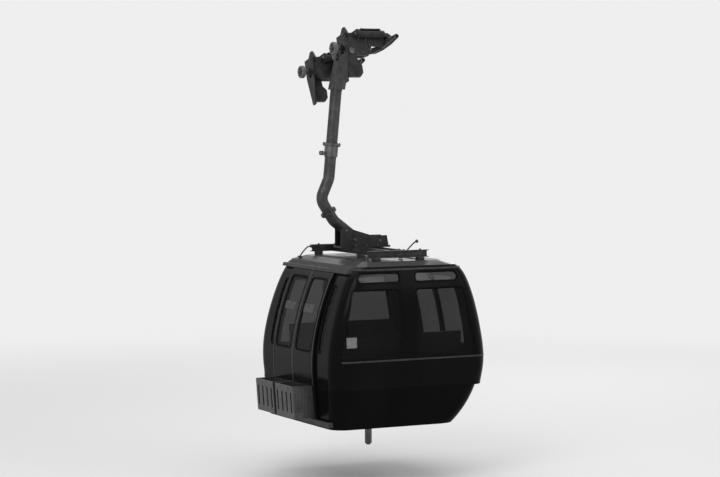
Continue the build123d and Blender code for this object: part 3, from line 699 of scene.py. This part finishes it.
# The collar stands on the first run, and a bolted pair of flanges on the third
COLLAR_SHARE = 0.62
COLLAR_THICKNESS = 0.028
COLLAR_BOLTS = 0.098
FLANGE_SHARE = 0.62
FLANGE_HALF = 0.016
FLANGE_BOLTS = 0.091
FLANGE_OUTLINE = (
    (TUBE_RADIUS + LIFT, -FLANGE_HALF), (0.103, -FLANGE_HALF), (0.106, -0.013), (0.106, -0.001),
    (0.104, 0.0), (0.106, 0.001), (0.106, 0.013), (0.103, FLANGE_HALF),
    (TUBE_RADIUS + LIFT, FLANGE_HALF),
)
WELD_STEPS = 60
WELD_WAVES = 9
WELD_UNEVEN = 0.0006

# The foot's plate, with its bolts' places along Y and those of the gussets' pins
FOOT_PLATE = 0.025
FOOT_BOLT_INSET = 0.020
FOOT_BOLTS_Y = (-0.235, -0.08, 0.08, 0.215)
GUSSET_X = 0.090
GUSSET_PINS = ((-0.36, 2.40), (-0.24, 2.28), (0.12, 2.26))


def weld_ring(shape, place, axis, radius, bead):
    """A bead of weld round a tube, slightly uneven."""
    around = spokes(axis.normalized(), WELD_STEPS)
    points = []
    for step, spoke in enumerate(around):
        wave = sin(WELD_WAVES * 2 * pi * step / WELD_STEPS)
        points.append(place + spoke * (radius + WELD_UNEVEN * wave))
    shape.sweep(points, around, round_profile(bead, 8, 0.7), closed=True)


def hanger_details():
    """Bolted flanges, welds and bolts along the hanger and on its foot."""
    welds = Shape()
    flanges = Shape()
    bolts = Shape()
    down = (HANGER_KNEE - HANGER_TOP).normalized()
    head_end = HANGER_TOP.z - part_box("hanger_head")[0].z + 0.006
    weld_ring(welds, HANGER_TOP + down * head_end, down, TUBE_RADIUS + 0.002, bead=0.006)
    collar = HANGER_TOP + (HANGER_KNEE - HANGER_TOP) * COLLAR_SHARE
    for face, way in ((collar, -down), (collar + down * COLLAR_THICKNESS, down)):
        bolts.bolt_circle(face, way, COLLAR_BOLTS, count=8, size=0.010, turn=0.3)
    axis = (HANGER_LOW_KNEE - HANGER_ELBOW).normalized()
    place = HANGER_ELBOW + (HANGER_LOW_KNEE - HANGER_ELBOW) * FLANGE_SHARE
    flanges.ring(place, axis, FLANGE_OUTLINE, 48)
    for way in (axis, -axis):
        bolts.bolt_circle(place + way * FLANGE_HALF, way, FLANGE_BOLTS, count=8, size=0.008)
        weld_ring(welds, place + way * (FLANGE_HALF + 0.003), axis, TUBE_RADIUS, bead=0.004)
    welds.piece("hanger_welds", "cabin", "hanger_steel")
    flanges.piece("hanger_flanges", "cabin", "hanger_steel")
    foot_low, foot_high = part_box("hanger_foot")
    for x in (foot_low.x + FOOT_BOLT_INSET, foot_high.x - FOOT_BOLT_INSET):
        for y in FOOT_BOLTS_Y:
            bolts.bolt(Vector((x, y, foot_low.z + FOOT_PLATE)), UP, 0.011)
    for y, height in GUSSET_PINS:
        for sign in (1, -1):
            bolts.bolt(over_pan(sign * GUSSET_X, y, height), Vector((sign, 0.0, 0.0)), 0.016)
    bolts.piece("hanger_bolts", "cabin", "bright_steel")


HUB_CAP = ((0.045, 0.0), (0.045, 0.008), (0.040, 0.012), (0.018, 0.012), (0.014, 0.008))


def pivot_details():
    """Bolts on the pivot pin's head, and a cap with bolts on the beam's back."""
    head = Vector((0.0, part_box("pivot_pin")[0].y, 0.0))
    back = Vector((0.0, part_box("grip_beam")[1].y, 0.0))
    bolts = Shape()
    bolts.bolt_circle(head, OUT, radius=0.036, count=4, size=0.009, turn=0.4)
    bolts.lathe(back, -OUT, HUB_CAP)
    bolts.bolt_circle(back, -OUT, radius=0.060, count=6, size=0.007)
    bolts.piece("pivot_bolts", "grip", "bright_steel")


# A grip unit's middle along the rope, and its roller's inner face and centre
UNIT_U = 0.470
ROLLER_IN = 0.700
ROLLER_W = -0.065
TYRE_OUTLINE = (
    (0.056, 0.004), (0.070, 0.002), (0.077, 0.006), (0.080, 0.014), (0.080, 0.024),
    (0.0785, 0.027), (0.0785, 0.033), (0.080, 0.036), (0.080, 0.046), (0.077, 0.054),
    (0.070, 0.058), (0.056, 0.056),
)
HUB_OUTLINE = (
    (0.0186, 0.0), (0.030, 0.0), (0.032, 0.010), (0.050, 0.014), (0.054, 0.003),
    (0.0565, 0.003), (0.0565, 0.057), (0.054, 0.057), (0.050, 0.046), (0.032, 0.050),
    (0.030, 0.060), (0.0186, 0.060),
)


def roller_details():
    """Each roller as a rubber tyre on a steel hub with bolts."""
    for end, sign in ENDS:
        centre = in_grip(sign * UNIT_U, ROLLER_IN, ROLLER_W)
        body = f"roller_{end}"
        tyre = Shape()
        tyre.ring(centre, OUT, TYRE_OUTLINE, 64)
        tyre = tyre.piece(f"roller_tyre_{end}", body, "roller_rubber", look="tyre_rubber")
        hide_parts(f"grip_roller_{end}")
        hub = Shape()
        hub.ring(centre, OUT, HUB_OUTLINE, 48)
        hub.bolt_circle(centre + OUT * 0.047, OUT, radius=0.041, count=5, size=0.005)
        hub.piece(f"roller_hub_{end}", body, "bright_steel")


# Spring canisters each side of a unit, with an end cap, two bands and a nut at the yoke
CANISTER_U = 0.108
CANISTER_W = 0.090
CANISTER_CAP_OUT = 0.070
CANISTER_CAP = (
    (0.044, 0.0), (0.044, 0.008), (0.036, 0.016), (0.016, 0.018), (0.016, 0.026), (0.012, 0.028),
)
BANDS_OUT = (0.110, 0.390)
BAND_OUTLINE = ((0.0482, -0.007), (0.052, -0.006), (0.052, 0.006), (0.0482, 0.007))
YOKE_OUT = 0.446

# Bolts on the arch's top (along the rope, out) and on the hanging plate (along the rope, w)
ARCH_TOP_W = 0.150
ARCH_BOLTS = ((-0.12, 0.15), (-0.12, 0.37), (0.12, 0.15), (0.12, 0.37))
PLATE_OUT = 0.618
PLATE_BOLTS = ((-0.078, 0.03), (-0.078, 0.09), (0.078, 0.03), (0.078, 0.09))

# On a unit's cheeks and outer side: (out, w)
UNIT_HALF = 0.065
LEVER_PIN = (0.265, -0.100)
CHEEK_BOLTS = (
    (0.30, 0.035), (0.41, 0.040), (0.52, 0.045), (0.575, -0.02), (0.36, -0.135), (0.44, -0.150),
)
CHEEK_BOSS = (0.52, -0.115)
BOSS_OUTLINE = (
    (0.040, 0.0), (0.040, 0.010), (0.036, 0.014), (0.020, 0.014), (0.016, 0.008), (0.004, 0.008),
)
GUARD_THICKNESS = 0.006
GUARD_OUTLINE = (
    (0.278, 0.078), (0.085, 0.100), (0.056, 0.045), (0.056, -0.045), (0.085, -0.066),
    (0.278, -0.056),
)
GUARD_BOLTS = ((0.262, 0.055), (0.262, -0.035), (0.105, 0.088))
AXLE_END = (0.772, ROLLER_W)


def unit_details():
    """Nuts, caps, bolts, a boss and a guard plate on each grip unit."""
    for end, sign in ENDS:
        u = sign * UNIT_U
        bolts = Shape()
        caps = Shape()
        for side in (1, -1):
            canister = u + side * CANISTER_U
            bolts.bolt(in_grip(canister, YOKE_OUT, CANISTER_W), OUT, 0.022)
            caps.lathe(in_grip(canister, CANISTER_CAP_OUT, CANISTER_W), -OUT, CANISTER_CAP)
            for out in BANDS_OUT:
                caps.ring(in_grip(canister, out, CANISTER_W), OUT, BAND_OUTLINE, 40)
        for along, out in ARCH_BOLTS:
            bolts.bolt(in_grip(u + along, out, ARCH_TOP_W), UP_FROM_ROPE, 0.011)
        for along, w in PLATE_BOLTS:
            bolts.bolt(in_grip(u + along, PLATE_OUT, w), OUT, 0.011)
        for side in (1, -1):
            bolts.bolt(in_grip(u + side * UNIT_HALF, *LEVER_PIN), ALONG_ROPE * side, 0.018)
        outer = u + sign * UNIT_HALF
        away = ALONG_ROPE * sign
        guard = Shape()
        guard.loft([
            [in_grip(outer + sign * lift, out, w) for out, w in GUARD_OUTLINE]
            for lift in (LIFT, GUARD_THICKNESS)
        ])
        guard.piece(f"jaw_guard_{end}", "grip", "grip_steel")
        for out, w in GUARD_BOLTS:
            bolts.bolt(in_grip(outer + sign * GUARD_THICKNESS, out, w), away, 0.008)
        for out, w in CHEEK_BOLTS:
            bolts.bolt(in_grip(outer, out, w), away, 0.010)
        boss = in_grip(outer, *CHEEK_BOSS)
        bolts.lathe(boss, away, BOSS_OUTLINE, 40)
        bolts.bolt_circle(boss + away * 0.013, away, radius=0.029, count=4, size=0.004, turn=0.5)
        bolts.bolt(in_grip(u, *AXLE_END), OUT, 0.016)
        bolts.piece(f"grip_bolts_{end}", "grip", "bright_steel")
        caps.piece(f"canister_caps_{end}", "grip", "grip_steel")


# Buffers under the cross rails, with rubber sleeves, and the long beams' bolts over them
BUFFERS_X = (-0.800, 0.800)
BUFFERS_Y = (-0.310, 0.310)
SLEEVE_OUTLINE = (
    (0.0455, 0.001), (0.056, 0.002), (0.058, 0.008), (0.052, 0.014), (0.052, 0.018),
    (0.059, 0.023), (0.056, 0.036), (0.0455, 0.038),
)
BEAM_BOLTS_X = (-0.745, -0.62, 0.62, 0.745)
BEAM_BOLTS_Y = (-0.110, 0.110)
PIN_FLANGE = 0.016

# Bent rods on the roof, as rows of points: (X, Y, height over the pan)
ROOF_RODS = (
    ((0.470, 0.215, 2.062), (0.470, 0.285, 2.135), (0.475, 0.395, 2.240), (0.480, 0.435, 2.262)),
    (
        (-0.765, -0.600, 2.030), (-0.765, -0.560, 2.085), (-0.765, -0.490, 2.150),
        (-0.775, -0.435, 2.158),
    ),
)
ROD_RADIUS = 0.009
ROD_FOOT = ((0.030, -0.006), (0.030, 0.006), (0.022, 0.012))
ROD_KNOB = ((0.010, -0.012), (0.019, -0.004), (0.022, 0.008), (0.019, 0.020), (0.008, 0.026))


def roof_details():
    """Sleeves on the buffers, bolts on the frame and the guide pin, and the two bent rods."""
    rails_low, rails_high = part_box("roof_cross_rails")
    sleeves = Shape()
    bolts = Shape()
    for x in BUFFERS_X:
        for y in BUFFERS_Y:
            sleeves.ring(Vector((x, y, rails_low.z)), UP, SLEEVE_OUTLINE, 40)
            bolts.bolt(Vector((x, y, rails_high.z)), UP, 0.013)
    sleeves.piece("buffer_sleeves", "cabin", "roller_rubber")
    for x in BEAM_BOLTS_X:
        for y in BEAM_BOLTS_Y:
            bolts.bolt(Vector((x, y, rails_high.z)), UP, 0.009)
    pin_flange = Vector((0.0, 0.0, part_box("guide_pin")[1].z - PIN_FLANGE))
    bolts.bolt_circle(pin_flange, -UP, radius=0.105, count=6, size=0.010)
    bolts.piece("frame_bolts", "cabin", "bright_steel")
    rods = Shape()
    for row in ROOF_RODS:
        points = [over_pan(*place) for place in row]
        rods.lathe(points[0], UP, ROD_FOOT, 24)
        rods.rod(points, ROD_RADIUS)
        rods.lathe(points[-1], points[-1] - points[-2], ROD_KNOB, 24)
    rods.piece("roof_rods", "cabin", "rail_metal")


def tree_of(node):
    """A CAD node's surface, to be met by rays."""
    mesh = frame["nodes"][node].data
    return BVHTree.FromPolygons(
        [vert.co for vert in mesh.vertices], [face.vertices for face in mesh.polygons]
    )


# Bare plates laid on panes: (name, pane, body, look, way of sight in X and Y, from and to across
# it, from and to in height over the pan)
PLATES = (
    (
        "number_place", "glass_uphill", "cabin", "plate_film",
        (-1, 0), (-0.868, -0.732), (1.02, 1.15),
    ),
    (
        "sign_place_uphill", "door_glass_uphill", "door_uphill", "sign_film",
        (0, 1), (0.08, 0.35), (1.40, 1.50),
    ),
    (
        "sign_place_downhill", "door_glass_downhill", "door_downhill", "sign_film",
        (0, 1), (-0.45, -0.18), (1.40, 1.50),
    ),
)
PLATE_STEPS = 8
PLATE_LAYERS = (0.0002, 0.0012)
SIGHT_FROM = 3


def bare_plates():
    """Bare pale plates where the end window and the doors carry theirs, bent to the glass."""
    for name, pane, body, look, (ray_x, ray_y), (start, end), (bottom, top) in PLATES:
        tree = tree_of(pane)
        ray = Vector((ray_x, ray_y, 0.0))

        def point(layer, row, column):
            across = start + (end - start) * column / PLATE_STEPS
            height = bottom + (top - bottom) * row / PLATE_STEPS
            place = over_pan(across * abs(ray_y), across * abs(ray_x), height)
            hit, normal, _, _ = tree.ray_cast(place - ray * SIGHT_FROM, ray)
            return hit + (normal if normal.dot(ray) < 0 else -normal) * PLATE_LAYERS[layer]

        shape = Shape()
        shape.shell(PLATE_STEPS, PLATE_STEPS, point)
        shape.piece(name, body, "rack_metal", look=look)


SEATS_PER_BENCH = 4
SEAT_STEPS = 14
BENCH_COLUMNS = SEATS_PER_BENCH * SEAT_STEPS
SEAT_BOWL = 0.022
SEAT_LIP = 0.020
SEAT_LIP_SHARE = 0.16
SEAT_THICKNESS = 0.045
BASE_SHARES = (0.16, 0.92)
BASE_INSET = 0.15
BASE_UNDER_SEAT = 0.05


def seat_drop(across, deep):
    """How low a moulded seat lies at a place: 0 to 1 across one seat and from front to back."""
    bowl = sin(pi * across) ** 0.6 * sin(pi * min(1.0, 0.25 + deep * 0.85))
    lip = max(0.0, SEAT_LIP_SHARE - deep) / SEAT_LIP_SHARE
    return -SEAT_BOWL * bowl - SEAT_LIP * lip**2


def bench_seats():
    """Rows of moulded seats on a base, in place of the plain benches."""
    for end, sign in ENDS:
        low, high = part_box(f"seat_{end}")
        front, back = (low.x, high.x) if sign > 0 else (high.x, low.x)

        def point(layer, row, column):
            deep = row / SEAT_STEPS
            drop = seat_drop((column % SEAT_STEPS) / SEAT_STEPS, deep)
            y = low.y + (high.y - low.y) * column / BENCH_COLUMNS
            z = high.z + drop if layer else high.z - SEAT_THICKNESS + drop * 0.5
            return Vector((front + (back - front) * deep, y, z))

        shape = Shape()
        shape.shell(SEAT_STEPS, BENCH_COLUMNS, point)
        base_from, base_to = sorted(front + (back - front) * share for share in BASE_SHARES)
        shape.block(
            (base_from, low.y + BASE_INSET, low.z),
            (base_to, high.y - BASE_INSET, high.z - BASE_UNDER_SEAT), 0.01,
        )
        seats = shape.piece(f"moulded_seats_{end}", "cabin", "seat_shell", smooth_under=50.0)
        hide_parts(f"seat_{end}")


# A pad's place on its seat's part of the back: (from, size) across it and up it
PAD_ACROSS = (0.06, 0.88)
PAD_UP = (0.30, 0.62)
PAD_ROWS = 10
PAD_COLUMNS = 12
PAD_LIFT = 0.0008
PAD_RISE = 0.014
PAD_HOLLOW = 0.35


def back_pads():
    """A shallow moulded pad behind each seat, on the bench's back."""
    for end, sign in ENDS:
        node = f"seat_back_{end}"
        low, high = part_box(node)
        width = (high.y - low.y) / SEATS_PER_BENCH
        tree = tree_of(node)
        ray = Vector((sign, 0.0, 0.0))
        shape = Shape()
        for seat in range(SEATS_PER_BENCH):

            def point(layer, row, column):
                across, tall = column / PAD_COLUMNS, row / PAD_ROWS
                y = low.y + width * (seat + PAD_ACROSS[0] + PAD_ACROSS[1] * across)
                z = low.z + (high.z - low.z) * (PAD_UP[0] + PAD_UP[1] * tall)
                hit = tree.ray_cast(Vector((0.0, y, z)), ray)[0]
                edge = min(1.0, 6 * min(across, 1 - across, tall, 1 - tall))
                hollow = PAD_HOLLOW * sin(pi * across) * sin(pi * tall)
                rise = PAD_RISE * (sin(edge * pi / 2) - hollow) if layer else -LIFT
                return hit - ray * (rise + PAD_LIFT)

            shape.shell(PAD_ROWS, PAD_COLUMNS, point)
        shape.piece(f"back_pads_{end}", "cabin", "seat_shell", smooth_under=50.0)


FLOOR_RIBS = 19
FLOOR_RIBS_FROM = -0.37
FLOOR_RIB_STEP = 0.040
FLOOR_RIB_HALF = 0.009
FLOOR_RIB_RISE = 0.004


def floor_ribs():
    """Raised ribs on the rubber floor between the benches."""
    low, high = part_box("floor_board")
    shape = Shape()
    for i in range(FLOOR_RIBS):
        x = FLOOR_RIBS_FROM + i * FLOOR_RIB_STEP
        shape.block(
            (x - FLOOR_RIB_HALF, low.y + 0.12, high.z),
            (x + FLOOR_RIB_HALF, high.y - 0.14, high.z + FLOOR_RIB_RISE), 0.002,
        )
    shape.piece("floor_ribs", "cabin", "floor_rubber")


# The lining's corners: X, Y and the depth under the roof's crown
CEILING_LOW = (-0.72, -0.34, 0.067)
CEILING_HIGH = (0.72, 0.42, 0.059)


def ceiling_panel():
    """A pale lining under the roof."""
    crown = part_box("roof")[1].z
    shape = Shape()
    low, high = ((x, y, crown - depth) for x, y, depth in (CEILING_LOW, CEILING_HIGH))
    shape.block(low, high, 0.003)
    shape.piece("ceiling_panel", "cabin", "seat_shell")


RIM_INSET = 0.006
RIM_RADIUS = 0.0075
RIM_BACK = 0.040
RACK_RIBS = 5
RIB_FRONT = 0.060
RIB_BACK = 0.050
RIB_RISE = 0.005
RIB_HALF = 0.008
RIVETS = 5
RIVET_INSET = 0.020
RIVET_HEIGHTS = (0.035, 0.365)
RIVET_OUTLINE = ((0.006, -0.001), (0.006, 0.001), (0.003, 0.003))
RACK_LEAN = 0.030


def rack_trims():
    """Rounded rims, ribs on the end plates and rivets on the ski racks."""
    bead = round_profile(RIM_RADIUS, 8)
    for end, _ in ENDS:
        low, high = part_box(f"ski_rack_{end}")
        left, right = low.x + RIM_INSET, high.x - RIM_INSET
        front, back = low.y + RIM_INSET, high.y - RIM_BACK
        rim = Shape()
        for start, stop, steps in (
            ((left, front), (right, front), 24),
            ((left, front), (left, back), 12),
            ((right, front), (right, back), 12),
        ):
            start, stop = Vector((*start, high.z)), Vector((*stop, high.z))
            points = [start.lerp(stop, i / steps) for i in range(steps + 1)]
            rim.sweep(points, [UP] * len(points), bead)
        room = high.y - low.y - RIB_FRONT - RIB_BACK
        for i in range(RACK_RIBS):
            y = low.y + RIB_FRONT + room * i / (RACK_RIBS - 1)
            for x in (low.x - RIB_RISE, high.x):
                rim.block(
                    (x, y - RIB_HALF, low.z + 0.012),
                    (x + RIB_RISE, y + RIB_HALF, high.z - 0.010), 0.0015,
                )
        rim.piece(f"rack_rim_{end}", f"door_{end}", "rack_metal")
        rivets = Shape()
        for i in range(RIVETS):
            x = low.x + RIVET_INSET + (high.x - low.x - 2 * RIVET_INSET) * i / (RIVETS - 1)
            for height in RIVET_HEIGHTS:
                lean = RACK_LEAN * (1 - height / (high.z - low.z))
                rivets.lathe(Vector((x, low.y + lean, low.z + height)), OUT, RIVET_OUTLINE, 12)
        rivets.piece(f"rack_rivets_{end}", f"door_{end}", "bright_steel")


def build_stage():
    """A pale floor that fades into the backdrop's colour far away."""
    mesh = bpy.data.meshes.new("stage_floor")
    rim = round_profile(STAGE_RADIUS, STAGE_SIDES)
    mesh.from_pydata([(x, y, FLOOR_Z) for x, y in rim], [], [tuple(range(STAGE_SIDES))])
    floor = bpy.data.objects.new("stage_floor", mesh)
    bpy.context.scene.collection.objects.link(floor)
    nodes = Nodes("stage_floor")
    nodes.set(Base_Color=(*plain(FLOOR_COLOUR), 1.0), Roughness=0.9)
    away = nodes.new("ShaderNodeVectorMath", operation="LENGTH")
    nodes.link(nodes.place, away, 0)
    fade = nodes.spread(
        away.outputs["Value"], STAGE_FADE_FROM, STAGE_FADE_TO, interpolation_type="SMOOTHSTEP"
    )
    glow = nodes.new("ShaderNodeEmission")
    glow.inputs["Color"].default_value = (*plain(BACKDROP), 1.0)
    mixed = nodes.new("ShaderNodeMixShader")
    nodes.link(fade, mixed, 0)
    nodes.link(nodes.shader.outputs["BSDF"], mixed, 1)
    nodes.link(glow.outputs["Emission"], mixed, 2)
    nodes.link(mixed.outputs["Shader"], nodes.out, "Surface")
    mesh.materials.append(nodes.material)


def aim(thing, place, target):
    """Stands a lamp or the camera at a place, looking at a target."""
    place = Vector(place)
    thing.location = place
    thing.rotation_euler = (Vector(target) - place).to_track_quat("-Z", "Y").to_euler()
    bpy.context.scene.collection.objects.link(thing)


def light_scene():
    """Soft daylight from all round, with a gentle key from the camera's left and a lamp behind.

    The camera, the glass and the gloss see the plain backdrop in place of that daylight.
    """
    for name, place, target, side, watts in LAMPS:
        data = bpy.data.lights.new(name, "AREA")
        data.shape = "RECTANGLE"
        data.size = data.size_y = side
        data.energy = watts
        aim(bpy.data.objects.new(name, data), place, target)
    world = bpy.data.worlds.new("world")
    world.use_nodes = True
    tree = world.node_tree
    background = tree.nodes["Background"]
    background.inputs["Color"].default_value = WORLD_COLOUR
    background.inputs["Strength"].default_value = WORLD_STRENGTH
    seen = tree.nodes.new("ShaderNodeBackground")
    seen.inputs["Color"].default_value = (*plain(BACKDROP), 1.0)
    path = tree.nodes.new("ShaderNodeLightPath")
    shown = path.outputs["Is Camera Ray"]
    for kind in ("Is Transmission Ray", "Is Glossy Ray"):
        either = tree.nodes.new("ShaderNodeMath")
        either.operation = "MAXIMUM"
        tree.links.new(shown, either.inputs[0])
        tree.links.new(path.outputs[kind], either.inputs[1])
        shown = either.outputs[0]
    mixed = tree.nodes.new("ShaderNodeMixShader")
    tree.links.new(shown, mixed.inputs[0])
    tree.links.new(background.outputs[0], mixed.inputs[1])
    tree.links.new(seen.outputs[0], mixed.inputs[2])
    tree.links.new(mixed.outputs[0], tree.nodes["World Output"].inputs["Surface"])
    bpy.context.scene.world = world


def place_camera():
    """The camera stands at the photograph's viewing angle."""
    data = bpy.data.cameras.new("camera")
    data.lens = CAMERA_LENS
    data.sensor_width = SENSOR_WIDTH
    data.clip_end = CAMERA_FAR
    camera = bpy.data.objects.new("camera", data)
    aim(camera, CAMERA_PLACE, CAMERA_AIM)
    bpy.context.scene.camera = camera


place_camera()
dress_nodes()
glazing()
body_strips()
door_trims()
foot_webs()
hanger_details()
pivot_details()
roller_details()
unit_details()
roof_details()
bare_plates()
bench_seats()
back_pads()
floor_ribs()
ceiling_panel()
rack_trims()
build_stage()
light_scene()
bpy.context.scene.view_settings.view_transform = "Standard"
